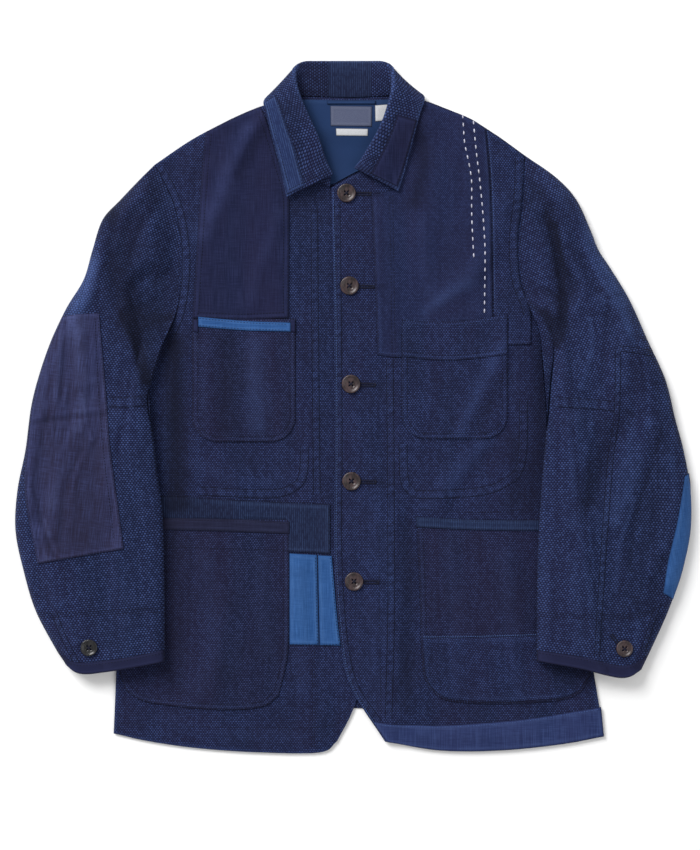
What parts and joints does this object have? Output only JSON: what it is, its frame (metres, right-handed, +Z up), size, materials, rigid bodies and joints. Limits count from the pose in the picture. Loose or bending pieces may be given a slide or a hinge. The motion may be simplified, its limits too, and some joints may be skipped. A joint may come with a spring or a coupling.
{
  "type": "work jacket",
  "caption": "Patched indigo work jacket laid flat, front up and buttoned: turned-down collar, long sleeves, patch pockets and sewn-on cloth patches.",
  "frame": {"origin": "on the surface the jacket lies on, under the middle of its outline", "axes": "+Z up off that surface, out of the jacket's front; +Y towards the collar; +X towards the wearer's left sleeve"},
  "size_m": [0.7292, 0.7466, 0.0234],
  "materials": {
    "sashiko": "indigo rice-grain weave with pale blue picks",
    "slub_indigo": "plain slub indigo",
    "striped_slub": "indigo with fine blue stripes and slubs",
    "bright_blue": "plain mid-bright blue",
    "purple_brown": "faded purple-brown plain weave",
    "blue_lining": "smooth medium blue",
    "navy_twill": "navy twill binding",
    "hem_blue": "lighter blue fine rice-grain weave",
    "grey_label": "grey-blue woven label, bare",
    "white_label": "white tape label, bare",
    "horn": "brown-grey horn, satin",
    "black_horn": "black horn, glossy"
  },
  "bodies": {
    "root": {"back": "sashiko", "back_facing": "blue_lining", "blue_column_right": "bright_blue", "blue_patch_right": "bright_blue", "button_1": "horn", "button_2": "horn", "button_3": "horn", "button_4": "horn", "button_5": "horn", "chest_band_left": "sashiko", "chest_binding_right": "bright_blue", "chest_patch_left": "slub_indigo", "chest_pocket_left": "sashiko", "chest_pocket_right": "sashiko", "collar_back": "striped_slub", "collar_left": "sashiko", "collar_patch_left": "slub_indigo", "collar_right": "sashiko", "cuff_binding_left": "navy_twill", "cuff_binding_right": "navy_twill", "cuff_button_left": "horn", "cuff_button_right": "black_horn", "elbow_patch_left": "bright_blue", "elbow_patch_right": "purple_brown", "front_left": "sashiko", "front_right": "sashiko", "hanger_loop": "blue_lining", "hem_band_left": "hem_blue", "label_main": "grey_label", "label_size": "white_label", "label_small": "white_label", "lower_binding_left": "striped_slub", "lower_binding_right": "purple_brown", "lower_pocket_left": "sashiko", "lower_pocket_right": "sashiko", "pocket_foot_left": "slub_indigo", "shoulder_patch_right": "slub_indigo", "side_patch_left": "sashiko", "sleeve_under_left": "sashiko", "sleeve_under_right": "sashiko", "sleeve_upper_left": "sashiko", "sleeve_upper_right": "sashiko", "striped_band_right": "striped_slub"}
  },
  "joints": []
}
